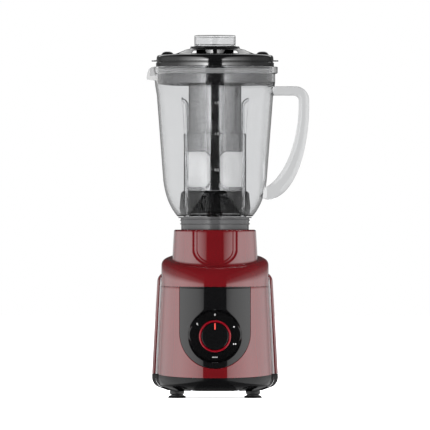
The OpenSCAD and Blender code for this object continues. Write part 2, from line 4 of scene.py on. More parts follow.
import bmesh
import bpy
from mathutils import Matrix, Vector

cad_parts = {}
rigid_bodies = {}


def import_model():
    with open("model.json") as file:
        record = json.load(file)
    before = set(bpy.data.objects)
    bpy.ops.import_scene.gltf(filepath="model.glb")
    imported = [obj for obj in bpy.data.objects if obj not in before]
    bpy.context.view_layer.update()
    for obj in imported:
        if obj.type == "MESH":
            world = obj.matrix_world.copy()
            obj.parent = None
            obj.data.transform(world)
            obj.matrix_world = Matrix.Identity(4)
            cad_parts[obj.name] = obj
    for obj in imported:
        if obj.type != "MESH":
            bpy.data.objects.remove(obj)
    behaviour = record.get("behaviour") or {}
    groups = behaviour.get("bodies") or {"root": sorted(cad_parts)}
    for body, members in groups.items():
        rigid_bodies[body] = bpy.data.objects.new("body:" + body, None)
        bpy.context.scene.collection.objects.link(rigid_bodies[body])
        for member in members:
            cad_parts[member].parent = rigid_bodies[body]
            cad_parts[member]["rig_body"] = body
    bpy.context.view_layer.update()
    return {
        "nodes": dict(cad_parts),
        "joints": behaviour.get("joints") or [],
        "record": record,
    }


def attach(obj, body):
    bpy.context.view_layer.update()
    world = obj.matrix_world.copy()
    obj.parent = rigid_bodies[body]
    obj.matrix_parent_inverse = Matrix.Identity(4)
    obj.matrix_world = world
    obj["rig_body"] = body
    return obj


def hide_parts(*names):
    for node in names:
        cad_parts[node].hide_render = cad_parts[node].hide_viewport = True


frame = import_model()

MM = 0.001
MOTOR = next(j for j in frame["joints"] if j["name"] == "motor_spin")
AXIS = Vector((*MOTOR["pos_m"][:2], 0))
TURN = 192  # sides of a round piece

# Driving dimensions, in millimetres
SEAM_Z, COVER_Z, COVER_DIP, CORNER_Z, CORNER_R, UNDER_Z, WALL = 128.8, 27.7, 4.2, 23.4, 12.0, 8.2, 2.4
FRONT_TOP_R, FRONT_LOW_R, REAR_TOP_R, REAR_LOW_R = 62.0, 67.0, 67.3, 73.1
SHOULDER_R, SHOULDER_Z, SHOULDER_TILT = 62.2, 160.5, math.tan(math.radians(9))
TOWER_R, TOWER_Z, SEAT_R, SEAT_Z = 47.5, 194.7, 43.6, 180.0
TOWER_LOW_R, TOWER_LOW_Z, TOWER_EDGE, REAR_LIP = 49.9, 153.0, 2.3, 3.0
PANEL_W, PANEL_LOW_Z, DIAL_Z, DIAL_R, DIAL_FLOOR, MARKS_R = 41.0, 75.7, 72.0, 28.4, 56.0, 24.4
FOOT_X, FOOT_Y, FOOT_R = 44.0, 30.0, 10.1
BOWL_R, BOWL_Z, FLARE_R, FLARE_Z = 60.0, 252.0, 67.4, 350.0
JAR_R, RIM_R, RIM_Z, RIB_X, RIB_W, HANDLE_W = 69.8, 72.7, 383.5, 32.0, 3.4, 20.0
SKIRT_R, SEAL_R, BRIM_R, CAP_R, TOTAL_Z = 66.2, 65.5, 68.4, 23.9, 420.0
TUBE_R, BASKET_R, BORE_R, BASKET_TOP_Z = 30.5, 36.2, 34.2, 303.2


# ---- points and curves ----

def arc(centre, r, a0, a1, n):
    """Points along an arc, angles in degrees."""
    angles = [math.radians(a0 + (a1 - a0) * i / n) for i in range(n + 1)]
    return [(centre[0] + r * math.cos(a), centre[1] + r * math.sin(a)) for a in angles]


def curve(a, b, c, d, n):
    """Points along a cubic curve."""
    made = []
    for i in range(n + 1):
        t = i / n
        weights = ((1 - t) ** 3, 3 * (1 - t) ** 2 * t, 3 * (1 - t) * t * t, t ** 3)
        made.append(tuple(sum(w * p[k] for w, p in zip(weights, (a, b, c, d))) for k in (0, 1)))
    return made


def fillet(start, corner, end, n):
    """Points along a curve that cuts a corner."""
    steps = [k / n for k in range(n + 1)]
    return [tuple((1 - t) ** 2 * start + 2 * t * (1 - t) * corner + t * t * end) for t in steps]


def soften(outline, rounding):
    """A closed outline with its corners rounded. A point's third value is its own rounding."""
    made = []
    count = len(outline)
    for i, point in enumerate(outline):
        here = Vector(point[:2])
        r = point[2] if len(point) > 2 else rounding
        back = Vector(outline[i - 1][:2]) - here
        on = Vector(outline[(i + 1) % count][:2]) - here
        if r <= 0 or back.length < 1e-6 or on.length < 1e-6 or back.angle(on) > math.radians(165):
            made.append(tuple(here))
            continue
        reach = min(r, 0.45 * back.length, 0.45 * on.length)
        made += fillet(here + back.normalized() * reach, here, here + on.normalized() * reach, 4)
    return made


def blend_between(a, b, t):
    return a + (b - a) * t


def smooth_step(t):
    """Rises from 0 to 1 with soft ends."""
    t = min(max(t, 0.0), 1.0)
    return t * t * (3 - 2 * t)


def front_r(z):
    """Radius of the front shell at height z."""
    return FRONT_TOP_R + (FRONT_LOW_R - FRONT_TOP_R) * (SEAM_Z - z) / (SEAM_Z - COVER_Z)


def rear_r(z):
    """Radius of the rear shell at height z."""
    return REAR_TOP_R + (REAR_LOW_R - REAR_TOP_R) * (SEAM_Z - z) / (SEAM_Z - COVER_Z)


# ---- making meshes ----

def added(name, data):
    """A new object in the scene."""
    obj = bpy.data.objects.new(name, data)
    bpy.context.scene.collection.objects.link(obj)
    return obj


def make(name, verts, faces, smooth=32):
    """An object from points in millimetres round the motor axis, with its normals outwards."""
    mesh = bpy.data.meshes.new(name)
    mesh.from_pydata([Vector(v) * MM + AXIS for v in verts], [], faces)
    obj = added(name, mesh)
    tidy(obj, smooth)
    return obj


def tidy(obj, smooth=32, merge=True):
    """Merges doubled points if asked, turns the faces outwards and shades smooth up to an angle."""
    work = bmesh.new()
    work.from_mesh(obj.data)
    if merge:
        bmesh.ops.remove_doubles(work, verts=work.verts, dist=1e-7)
        bmesh.ops.dissolve_degenerate(work, edges=work.edges, dist=1e-7)
    bmesh.ops.recalc_face_normals(work, faces=work.faces)
    work.to_mesh(obj.data)
    work.free()
    obj.data.shade_smooth()
    obj.data.set_sharp_from_angle(angle=math.radians(smooth))


def face_outwards(obj):
    """Turns an open sheet's faces away from the motor axis."""
    work = bmesh.new()
    work.from_mesh(obj.data)
    work.normal_update()
    outwards = sum((f.calc_center_median() - AXIS).xy.dot(f.normal.xy) * f.calc_area() for f in work.faces)
    if outwards < 0:
        bmesh.ops.reverse_faces(work, faces=work.faces)
    work.to_mesh(obj.data)
    work.free()


def applied(obj, smooth, merge=True):
    """Replaces the object's mesh by what its modifiers make of it."""
    shown = obj.evaluated_get(bpy.context.evaluated_depsgraph_get())
    mesh = bpy.data.meshes.new_from_object(shown)
    obj.modifiers.clear()
    obj.data = mesh
    tidy(obj, smooth, merge)
    return obj


def thicken(obj, depth, smooth=32):
    """Gives an open sheet a wall of that depth in millimetres, inwards."""
    solid = obj.modifiers.new("wall", "SOLIDIFY")
    solid.thickness = depth * MM
    solid.offset = -1
    solid.use_even_offset = True
    return applied(obj, smooth)


def round_edges(obj, width, angle=35, segments=2, smooth=32):
    """Rounds the edges sharper than an angle."""
    bevel = obj.modifiers.new("edges", "BEVEL")
    bevel.width = width * MM
    bevel.segments = segments
    bevel.limit_method = "ANGLE"
    bevel.angle_limit = math.radians(angle)
    bevel.use_clamp_overlap = True
    return applied(obj, smooth)


def combine(obj, others, operation, smooth):
    """Cuts the other solids out of the object or welds them to it, and removes them."""
    for other in others:
        step = obj.modifiers.new("combine", "BOOLEAN")
        step.operation = operation
        step.solver = "MANIFOLD"
        step.object = other
    applied(obj, smooth, merge=False)
    for other in others:
        bpy.data.objects.remove(other)


def joined(name, parts):
    """One object from several."""
    work = bmesh.new()
    for part in parts:
        work.from_mesh(part.data)
        bpy.data.objects.remove(part)
    mesh = bpy.data.meshes.new(name)
    work.to_mesh(mesh)
    work.free()
    obj = added(name, mesh)
    obj.data.set_sharp_from_angle(angle=math.radians(32))
    return obj


def grid_faces(rows, columns, wrap_rows, wrap_columns):
    """The four-sided faces between rows of points."""
    faces = []
    for i in range(rows if wrap_rows else rows - 1):
        for j in range(columns if wrap_columns else columns - 1):
            i2, j2 = (i + 1) % rows, (j + 1) % columns
            faces.append((i * columns + j, i * columns + j2, i2 * columns + j2, i2 * columns + j))
    return faces


def lofted(name, rings, wrap=False, smooth=32):
    """A closed solid through rings of points, capped at both ends unless it closes on itself."""
    count = len(rings[0])
    faces = grid_faces(len(rings), count, wrap, True)
    if not wrap:
        faces.append(tuple(range(count)))
        faces.append(tuple(range((len(rings) - 1) * count, len(rings) * count)))
    return make(name, [p for ring in rings for p in ring], faces, smooth)


def sheet(name, rows, wrap=False, smooth=32):
    """An open sheet through rows of points."""
    faces = grid_faces(len(rows), len(rows[0]), False, wrap)
    return make(name, [p for row in rows for p in row], faces, smooth)


def turned(name, outline, rounding, turn=TURN, place=(0, 0, 0), forward=False):
    """A solid turned round Z, or round the forward direction, from an outline of radius and height."""
    points = soften(outline, rounding)
    verts, rings = [], []
    for r, h in points:
        if r < 1e-6:
            rings.append([len(verts)] * turn)
            verts.append((0, 0, h))
        else:
            rings.append(list(range(len(verts), len(verts) + turn)))
            angles = [2 * math.pi * k / turn for k in range(turn)]
            verts += [(r * math.cos(a), r * math.sin(a), h) for a in angles]
    faces = []
    for i, ring in enumerate(rings):
        after = rings[(i + 1) % len(rings)]
        for k in range(turn):
            k2 = (k + 1) % turn
            corners = dict.fromkeys((ring[k], ring[k2], after[k2], after[k]))
            if len(corners) > 2:
                faces.append(tuple(corners))
    if forward:
        verts = [(x, -h, y) for x, y, h in verts]
    verts = [(x + place[0], y + place[1], z + place[2]) for x, y, z in verts]
    return make(name, verts, faces)


def block(name, x, y, z, rounding=0.0):
    """A block between two x, y and z values, with rounded edges."""
    verts = [(a, b, c) for a in x for b in y for c in z]
    faces = [(0, 1, 3, 2), (4, 6, 7, 5), (0, 4, 5, 1), (2, 3, 7, 6), (0, 2, 6, 4), (1, 5, 7, 3)]
    obj = make(name, verts, faces)
    return round_edges(obj, rounding, segments=3) if rounding else obj


def wrapped(name, points):
    """The tightest convex solid round some points."""
    obj = make(name, points, [])
    work = bmesh.new()
    work.from_mesh(obj.data)
    found = bmesh.ops.convex_hull(work, input=work.verts)
    bmesh.ops.delete(work, geom=found["geom_interior"], context="VERTS")
    work.to_mesh(obj.data)
    work.free()
    tidy(obj)
    return obj


def rounded_rect(w, h, r, n, centre):
    """Outline of a rectangle with round corners, anticlockwise."""
    made = []
    for k, (sx, sy) in enumerate(((1, 1), (-1, 1), (-1, -1), (1, -1))):
        middle = (centre[0] + sx * (w / 2 - r), centre[1] + sy * (h / 2 - r))
        made += arc(middle, r, 90 * k, 90 * k + 90, n)
    return made


# ---- materials ----

def link(tree, source, target):
    tree.links.new(source, target)


def node(tree, kind, **values):
    made = tree.nodes.new(kind)
    for key, value in values.items():
        if key in made.inputs:
            made.inputs[key].default_value = value
        else:
            setattr(made, key, value)
    return made


def ramp(tree, value, low, high, start, end):
    """Runs from start to end as the value goes from low to high."""
    made = node(tree, "ShaderNodeMapRange")
    for key, number in (("From Min", low), ("From Max", high), ("To Min", start), ("To Max", end)):
        made.inputs[key].default_value = number
    link(tree, value, made.inputs["Value"])
    return made.outputs["Result"]


class Finish:
    """A Principled surface whose colour, roughness and relief come from noise in object space."""

    def __init__(self, name, colour, roughness, stretch=(1, 1, 1), **sockets):
        self.material = bpy.data.materials.new(name)
        self.material.use_nodes = True
        self.tree = self.material.node_tree
        self.shader = self.tree.nodes["Principled BSDF"]
        self.colour = colour
        self.shader.inputs["Base Color"].default_value = (*colour, 1)
        self.shader.inputs["Roughness"].default_value = roughness
        for key, value in sockets.items():
            self.shader.inputs[key.replace("_", " ")].default_value = value
        self.place = node(self.tree, "ShaderNodeMapping", Scale=stretch)
        link(self.tree, node(self.tree, "ShaderNodeTexCoord").outputs["Object"], self.place.inputs["Vector"])
        self.last_bump = None

    def noise(self, scale, detail=3):
        made = node(self.tree, "ShaderNodeTexNoise", Scale=scale, Detail=detail)
        link(self.tree, self.place.outputs["Vector"], made.inputs["Vector"])
        return made.outputs["Fac"]

    def bands(self, scale, direction):
        made = node(self.tree, "ShaderNodeTexWave", Scale=scale, bands_direction=direction)
        link(self.tree, self.place.outputs["Vector"], made.inputs["Vector"])
        return made.outputs["Fac"]

    def tint(self, pattern, amount):
        """Varies the colour between a darker and a lighter tone."""
        mix = node(self.tree, "ShaderNodeMix", data_type="RGBA")
        dark = [c * (1 - amount) for c in self.colour]
        light = [min(1, c * (1 + amount)) for c in self.colour]
        mix.inputs[6].default_value = (*dark, 1)
        mix.inputs[7].default_value = (*light, 1)
        link(self.tree, ramp(self.tree, pattern, 0.35, 0.65, 0, 1), mix.inputs["Factor"])
        link(self.tree, mix.outputs[2], self.shader.inputs["Base Color"])

    def rough(self, pattern, low, high):
        """Varies the roughness."""
        link(self.tree, ramp(self.tree, pattern, 0.3, 0.7, low, high), self.shader.inputs["Roughness"])

    def relief(self, pattern, strength, distance=0.0002):
        """Adds a bump, on top of the one before it."""
        bump = node(self.tree, "ShaderNodeBump", Strength=strength, Distance=distance)
        link(self.tree, pattern, bump.inputs["Height"])
        if self.last_bump:
            link(self.tree, self.last_bump.outputs["Normal"], bump.inputs["Normal"])
        link(self.tree, bump.outputs["Normal"], self.shader.inputs["Normal"])
        self.last_bump = bump


def gloss(name, colour, roughness, **sockets):
    """Glossy moulded plastic: cloudy colour, faint orange peel and uneven polish."""
    made = Finish(name, colour, roughness, **sockets)
    made.tint(made.noise(14), 0.08)
    made.rough(made.noise(45, 4), roughness * 0.7, roughness * 1.5)
    made.relief(made.noise(260, 2), 0.035)
    return made.material


def satin(name, colour, roughness, vary=0.12, grain=1400, depth=0.25, **sockets):
    """Moulded plastic or rubber with a fine spark-eroded grain."""
    made = Finish(name, colour, roughness, **sockets)
    made.tint(made.noise(22), vary)
    made.rough(made.noise(90, 4), roughness * 0.8, min(1, roughness * 1.25))
    made.relief(made.noise(grain, 2), depth)
    return made.material


def brushed(name, colour, roughness, stretch=(1, 1, 1)):
    """Bare metal with fine marks, stretched into lines along one direction or another."""
    made = Finish(name, colour, roughness, stretch, Metallic=1.0)
    made.tint(made.noise(260, 4), 0.1)
    made.rough(made.noise(156, 4), roughness * 0.7, roughness * 1.4)
    made.relief(made.noise(520, 2), 0.12, 0.00005)
    return made.material


def banded(name, colour, roughness, scale, **sockets):
    """A surface built up in layers or turns along Z: iron laminations, or enamelled wire."""
    made = Finish(name, colour, roughness, **sockets)
    made.tint(made.noise(60), 0.25)
    made.relief(made.bands(scale, "Z"), 0.6, 0.0003)
    made.relief(made.noise(700, 2), 0.15)
    return made.material


def woven(name, colour, roughness, scale, **sockets):
    """A fine cloth of threads that cross."""
    made = Finish(name, colour, roughness, **sockets)
    made.tint(made.noise(22), 0.12)
    for direction in ("X", "Z"):
        made.relief(made.bands(scale, direction), 0.2, 0.0001)
    return made.material


def clear(name, colour, roughness, ior):
    """Clear moulded plastic: faint flow waves and hairline scuffs."""
    made = Finish(name, colour, roughness, Transmission_Weight=1.0, IOR=ior)
    made.rough(made.noise(30, 4), roughness * 0.6, roughness * 1.6)
    made.relief(made.noise(9, 1), 0.05, 0.001)
    return made.material


ROUND_Z, ALONG_Y = (0.3, 0.3, 6), (1, 0.1, 1)
BLACK = (0.003, 0.003, 0.0033)
FINISHES = {
    "red_shell": gloss("red gloss", (0.108, 0.0028, 0.005), 0.06, Coat_Weight=1.0, Coat_Roughness=0.03),
    "dark_red_shell": gloss("dark red gloss", (0.085, 0.0025, 0.005), 0.08,
                            Coat_Weight=0.9, Coat_Roughness=0.04),
    "trim": satin("satin silver", (0.5, 0.5, 0.505), 0.35, vary=0.05, depth=0.05, Metallic=0.3),
    "black_gloss": gloss("black gloss", BLACK, 0.06),
    "black_plastic": satin("black satin", BLACK, 0.14, depth=0.02, Specular_IOR_Level=0.2),
    "rubber": satin("black rubber", (0.012, 0.012, 0.012), 0.55),
    "screw_steel": brushed("zinc steel", (0.6, 0.6, 0.63), 0.3),
    "ceramic": satin("cream moulding", (0.75, 0.7, 0.58), 0.5),
    "wire": satin("blue insulation", (0.02, 0.08, 0.34), 0.4, depth=0.1),
    "cast_alloy": satin("cast alloy", (0.55, 0.56, 0.58), 0.42, grain=500, depth=0.5, Metallic=1.0),
    "lamination": banded("iron laminations", (0.16, 0.165, 0.18), 0.4, 620, Metallic=0.9),
    "copper": banded("enamelled copper", (0.55, 0.17, 0.06), 0.3, 480, Metallic=0.8),
    "bearing_steel": brushed("ground steel", (0.62, 0.63, 0.65), 0.18, ROUND_Z),
    "brass": brushed("brass", (0.62, 0.43, 0.17), 0.26),
    "carbon": satin("carbon", (0.02, 0.02, 0.022), 0.6),
    "spring_steel": brushed("spring steel", (0.6, 0.6, 0.6), 0.22),
    "fan_plastic": satin("grey nylon", (0.05, 0.05, 0.052), 0.45),
    "knob_red": gloss("red metal ring", (0.22, 0.003, 0.01), 0.12, Metallic=0.2),
    "pointer_red": gloss("pointer red", (0.7, 0.05, 0.035), 0.3),
    "clear_plastic": clear("clear plastic", (0.79, 0.794, 0.8), 0.03, ior=1.26),
    "grey_plastic": gloss("grey gloss", (0.07, 0.07, 0.072), 0.16),
    "silicone": satin("grey silicone", (0.3, 0.3, 0.3), 0.45, depth=0.1),
    "blade_steel": brushed("polished steel", (0.66, 0.67, 0.68), 0.14, ALONG_Y),
    "filter_grey": gloss("filter grey", (0.27, 0.27, 0.272), 0.14, Metallic=1.0),
    "mesh": woven("fine mesh", (0.8, 0.8, 0.8), 0.5, 900, Alpha=0.8),
}
LID_BLACK = gloss("lid black", BLACK, 0.07, Specular_IOR_Level=0.8)
LID_SKIRT = gloss("lid skirt", (0.17, 0.17, 0.172), 0.16, Metallic=1.0)
FILTER_BASE = gloss("filter base", (0.004, 0.004, 0.0042), 0.16, Specular_IOR_Level=0.2)
HANDLE_CLEAR = clear("clear handle", (0.6, 0.604, 0.61), 0.03, ior=1.4)
SPOUT_CLEAR = gloss("clear spout", (0.36, 0.36, 0.364), 0.1, Alpha=0.36)
PRINT_WHITE = satin("printed white", (0.7, 0.7, 0.7), 0.5, depth=0.1)
PRINT_GREY = satin("printed grey", (0.22, 0.22, 0.22), 0.5, depth=0.1)


def placed(obj, body, slot, *nodes, material=None):
    """Gives a piece its body and its finish, which is the given material or else the one for its material
    slot, and hides the CAD nodes it stands for.
    """
    obj.data.materials.clear()
    obj.data.materials.append(material or FINISHES[slot])
    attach(obj, body)
    if nodes:
        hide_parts(*nodes)


# ---- camera, light and floor, in metres ----

VIEW_WIDTH, VIEW_MIDDLE, VIEW_DISTANCE = 0.4988, 0.2117, 10.0
CARD_X, CARD_FAR, CARD_LOW, CARD_TOP = 1.2, 8.0, -1.2, 1.4


def make_camera():
    data = bpy.data.cameras.new("camera")
    camera = added("camera", data)
    data.lens = data.sensor_width * VIEW_DISTANCE / VIEW_WIDTH
    data.clip_end = 100
    camera.location = (AXIS.x, -VIEW_DISTANCE, VIEW_MIDDLE)
    camera.rotation_euler = (math.pi / 2, 0, 0)
    bpy.context.scene.camera = camera


def times(tree, a, b):
    made = node(tree, "ShaderNodeMath", operation="MULTIPLY")
    link(tree, a, made.inputs[0])
    link(tree, b, made.inputs[1])
    return made.outputs["Value"]


def wall(x, near):
    """Corners of a tall wall beside the object, from its near edge to far behind."""
    return [(x, near, CARD_LOW), (x, CARD_FAR, CARD_LOW), (x, CARD_FAR, CARD_TOP), (x, near, CARD_TOP)]


def card(name, corners, strength, rises=(), sweeps=()):
    """A glowing panel, seen only as a reflection. What lies behind it shows through.
    Rises change its strength with height, and sweeps with distance from the camera."""
    mesh = bpy.data.meshes.new(name)
    mesh.from_pydata(corners, [], [(0, 1, 2, 3)])
    made = added(name, mesh)
    glow = bpy.data.materials.new(name)
    glow.use_nodes = True
    tree = glow.node_tree
    tree.nodes.clear()
    split = node(tree, "ShaderNodeSeparateXYZ")
    link(tree, node(tree, "ShaderNodeTexCoord").outputs["Object"], split.inputs["Vector"])
    light = node(tree, "ShaderNodeEmission", Strength=strength)
    level = None
    for axis, changes in (("Z", rises), ("Y", sweeps)):
        for change in changes:
            step = ramp(tree, split.outputs[axis], *change)
            level = step if level is None else times(tree, level, step)
    if level is not None:
        link(tree, level, light.inputs["Color"])
    through = node(tree, "ShaderNodeBsdfTransparent")
    both = node(tree, "ShaderNodeAddShader")
    out = node(tree, "ShaderNodeOutputMaterial")
    link(tree, light.outputs["Emission"], both.inputs[0])
    link(tree, through.outputs["BSDF"], both.inputs[1])
    link(tree, both.outputs["Shader"], out.inputs["Surface"])
    mesh.materials.append(glow)
    made.visible_camera = made.visible_diffuse = made.visible_shadow = False
    return made


def area_light(name, place, size, watts):
    """A soft lamp aimed at the middle of the object, not seen as a reflection."""
    data = bpy.data.lights.new(name, "AREA")
    data.shape = "SQUARE"
    data.size = size
    data.energy = watts
    lamp = added(name, data)
    lamp.location = place
    aim = Vector((AXIS.x, 0, VIEW_MIDDLE)) - Vector(place)
    lamp.rotation_euler = aim.to_track_quat("-Z", "Y").to_euler()
    lamp.visible_camera = lamp.visible_glossy = False
    return lamp


def make_world():
    """White where it is looked at directly or through something clear, and dimmer where it lights or is
    mirrored. Light that turns inside a clear wall, between two surfaces, stays fairly bright."""
    world = bpy.data.worlds.new("studio")
    bpy.context.scene.world = world
    world.use_nodes = True
    world.cycles.sampling_method = "NONE"
    tree = world.node_tree
    tree.nodes.clear()
    path = node(tree, "ShaderNodeLightPath")
    seen, in_mirror, in_clear, lit = 1.0, 0.05, 0.32, 0.62
    inside = node(tree, "ShaderNodeMath", operation="COMPARE")
    two_surfaces, spread = 2.0, 1.1
    inside.inputs[1].default_value = two_surfaces
    inside.inputs[2].default_value = spread
    link(tree, path.outputs["Transmission Depth"], inside.inputs[0])
    mirrored = node(tree, "ShaderNodeMapRange")
    mirrored.inputs["To Min"].default_value = seen
    link(tree, ramp(tree, inside.outputs["Value"], 0, 1, in_mirror, in_clear), mirrored.inputs["To Max"])
    link(tree, path.outputs["Glossy Depth"], mirrored.inputs["Value"])
    lighting = node(tree, "ShaderNodeMapRange")
    lighting.inputs["To Max"].default_value = lit
    link(tree, mirrored.outputs["Result"], lighting.inputs["To Min"])
    link(tree, path.outputs["Diffuse Depth"], lighting.inputs["Value"])
    sky = node(tree, "ShaderNodeBackground", Color=(1, 1, 1, 1))
    out = node(tree, "ShaderNodeOutputWorld")
    link(tree, lighting.outputs["Result"], sky.inputs["Strength"])
    link(tree, sky.outputs["Background"], out.inputs["Surface"])


def make_floor():
    half = 8.0
    corners = [(-half, -half, 0), (half, -half, 0), (half, half, 0), (-half, half, 0)]
    mesh = bpy.data.meshes.new("floor")
    mesh.from_pydata(corners, [], [(0, 1, 2, 3)])
    floor = added("floor", mesh)
    made = Finish("pale floor", (0.9, 0.9, 0.9), 0.9, Specular_IOR_Level=0.0, Emission_Strength=0.8)
    made.shader.inputs["Emission Color"].default_value = (1, 1, 1, 1)
    made.tint(made.noise(3), 0.01)
    mesh.materials.append(made.material)
    floor.visible_glossy = floor.visible_transmission = False


def pair(name, x, near, strengths, rises, sweeps):
    """A left and a right card."""
    return [card(f"{name} {side}", wall(sign * x, near), strength, rises, sweeps)
            for side, sign, strength in zip(("left", "right"), (-1, 1), strengths)]


def floor_strips():
    """Glowing strips on the floor either side of the middle, for the underside of the base alone."""
    made = []
    for side in (-1, 1):
        x0, x1, z = AXIS.x + side * 0.026, AXIS.x + side * 0.3, 0.001
        made.append(card(f"floor strip {side}", [(x0, -1, z), (x1, -1, z), (x1, 1, z), (x0, 1, z)], 0.2))
    return made


make_camera()
make_world()
make_floor()
# A pair's rises and sweeps each say: from here, to here, share of the strength before and after
BASE_CARDS = pair("base card", CARD_X, -2.7, (2.35, 2.35), ((0.29, 0.5, 1.0, 0.25), (0.48, 0.9, 1.0, 0.1)),
                  ((-2.7, -0.5, 0.55, 1.0), (-0.3, 1.4, 1.0, 0.2)))
JAR_CARDS = pair("jar card", CARD_X + 0.05, -3.9, (4.4, 3.3), ((0.6, 1.4, 1.0, 0.0),),
                 ((-3.2, -1.3, 1.0, 0.42), (-1.3, -0.2, 1.0, 0.8), (-0.2, 2.5, 1.0, 0.1)))
LID_CARDS = pair("lid card", CARD_X + 0.1, -5.4, (12.4, 6.2), ((0.6, 1.4, 1.0, 0.0),),
                 ((-4.0, -1.6, 1.0, 0.36), (-1.6, -0.3, 1.0, 0.18), (-0.2, 1.4, 1.0, 0.15)))
BEHIND = [(-1.6, 2.2, 0.9), (1.6, 2.2, 0.9), (1.6, 2.2, 3.0), (-1.6, 2.2, 3.0)]
LID_CARDS.append(card("lid card behind", BEHIND, 1.1))
UNDER_CARDS = floor_strips()
area_light("key", (-1.6, -2.2, 2.0), 1.6, 36)
area_light("fill", (1.8, -2.0, 1.6), 1.8, 26)
area_light("top", (0.1, 0.6, 2.6), 2.0, 70)
bpy.context.scene.view_settings.view_transform = "Standard"


# ---- motor base ----

PAD_Z, PAD_TOP_Z, PAD_FOOT = 171.8, 175.0, 0.74
PAD_STEPS = ((26.2, 0.0), (24.3, -1.0), (21.7, -1.05), (21.0, -1.4))


def pad_depth(x, z):
    """How far the field in the tower's front is sunk: a step, a narrow ledge and a second step."""
    reach = math.hypot(x, max(PAD_Z - z, 0) / PAD_FOOT)
    for (outer, high), (inner, low) in zip(PAD_STEPS, PAD_STEPS[1:]):
        if reach >= outer:
            return high
        if reach > inner:
            return blend_between(low, high, (reach - inner) / (outer - inner))
    return PAD_STEPS[-1][1]


def tower_radius(z):
    """Radius of the tower at height z."""
    return TOWER_R + (TOWER_LOW_R - TOWER_R) * (TOWER_Z - z) / (TOWER_Z - TOWER_LOW_Z)


def shoulder_z(r, angle):
    """Height of the cover's slanting shoulder, which falls towards the front."""
    return SHOULDER_Z - r * math.cos(angle) * SHOULDER_TILT


def cover_sides(angle, root_z):
    """The cover's outer side, from the seam up the tower, and the inner side of its shoulder."""
    # The shoulder's edge is deeper and much taller at the front
    front = smooth_step((math.cos(angle) + 0.1) / 0.5)
    depth = 7 + 4 * front
    edge_r = SHOULDER_R - depth
    height = min(7 + 18.5 * front, shoulder_z(edge_r, angle) - SEAM_Z - 1)
    low = shoulder_z(edge_r, angle) - height
    foot = SEAM_Z + 0.4
    points = [(SHOULDER_R - WALL, SEAM_Z + 0.15), (SHOULDER_R - 0.3, SEAM_Z + 0.15), (SHOULDER_R, foot)]
    points += [(SHOULDER_R, blend_between(foot, low, t)) for t in (0.35, 0.7)]
    turns = [math.radians(90 * k / 18) for k in range(19)]
    points += [(edge_r + depth * math.cos(t), low + height * math.sin(t)) for t in turns]
    root, reach = Vector((tower_radius(root_z), root_z)), 1.6
    shelf_end = (min(edge_r - 0.2, root.x + reach), shoulder_z(root.x + reach, angle))
    points += fillet(Vector(shelf_end), root, root + Vector((0, reach)), 5)
    heights = [blend_between(root_z + reach, PAD_TOP_Z, k / 44) for k in range(1, 45)]
    heights += [blend_between(PAD_TOP_Z, TOWER_Z - TOWER_EDGE, k / 8) for k in range(1, 9)]
    points += [(tower_radius(z), z) for z in heights]
    turns.reverse()
    return points, [(edge_r - WALL + depth * math.cos(t), low - WALL + height * math.sin(t)) for t in turns]


def cover_section(angle):
    """Radius and height along the top cover's section, at an angle from the front."""
    root_z = shoulder_z(tower_radius(155), angle)
    points, inner = cover_sides(angle, root_z)
    edge_z = TOWER_Z - TOWER_EDGE
    points += arc((tower_radius(edge_z) - TOWER_EDGE, edge_z), TOWER_EDGE, 12, 90, 6)
    points += [(SEAT_R + 0.8, TOWER_Z), (SEAT_R + 0.2, TOWER_Z - 0.25), (SEAT_R, TOWER_Z - 0.9)]
    points += [(SEAT_R, SEAT_Z + 1.5), (SEAT_R - 0.5, SEAT_Z + 0.4), (SEAT_R - 1.6, SEAT_Z)]
    points += [(20, SEAT_Z), (9.2, SEAT_Z), (9.05, SEAT_Z - 0.2), (9.05, SEAT_Z - 3), (45.2, SEAT_Z - 3)]
    points += [(46.6, root_z + 3)] + inner
    sunk = []
    for r, z in points:
        outside = max(tower_radius(z) - TOWER_EDGE, 45.3) < r < TOWER_LOW_R + 1.1 and z > root_z + 0.4
        depth = pad_depth(r * math.sin(angle), z) if outside and math.cos(angle) > 0 else 0
        sunk.append((r + depth, z))
    return sunk


def turned_by(degrees, p):
    """A point turned round the motor axis."""
    c, s = math.cos(math.radians(degrees)), math.sin(math.radians(degrees))
    return (p[0] * c - p[1] * s, p[0] * s + p[1] * c, p[2])


def top_cover():
    fine = [math.radians(-36 + 0.4 * k) for k in range(181)]
    coarse = [math.radians(36 + 288 * k / 128) for k in range(1, 128)]
    columns = [[(r * math.sin(a), -r * math.cos(a), z) for r, z in cover_section(a)] for a in fine + coarse]
    cover = lofted("top_cover_shell", columns, wrap=True)
    lugs = []
    for k in range(4):
        lug = block(f"lug{k}", (SEAT_R - 4, SEAT_R + 0.8), (-3, 3), (SEAT_Z - 1, SEAT_Z + 8.5), 0.8)
        for v in lug.data.vertices:
            v.co = Vector(turned_by(45 + 90 * k, v.co - AXIS)) + AXIS
        lugs.append(lug)
    combine(cover, lugs, "UNION", 30)
    bore = [(0, SEAT_Z - 6), (2.6, SEAT_Z - 6), (2.6, SEAT_Z + 3), (0, SEAT_Z + 3)]
    combine(cover, [turned("hole", bore, 0, 48, (0, 36, 0))], "DIFFERENCE", 30)
    placed(cover, "base", "red_shell", "top_cover")


def opening_half_width(z, grow):
    """Half the width of the panel's opening at height z."""
    half = PANEL_W + grow
    if z >= PANEL_LOW_Z:
        return half
    return math.sqrt(max(half ** 2 - (PANEL_LOW_Z - z) ** 2, 0))


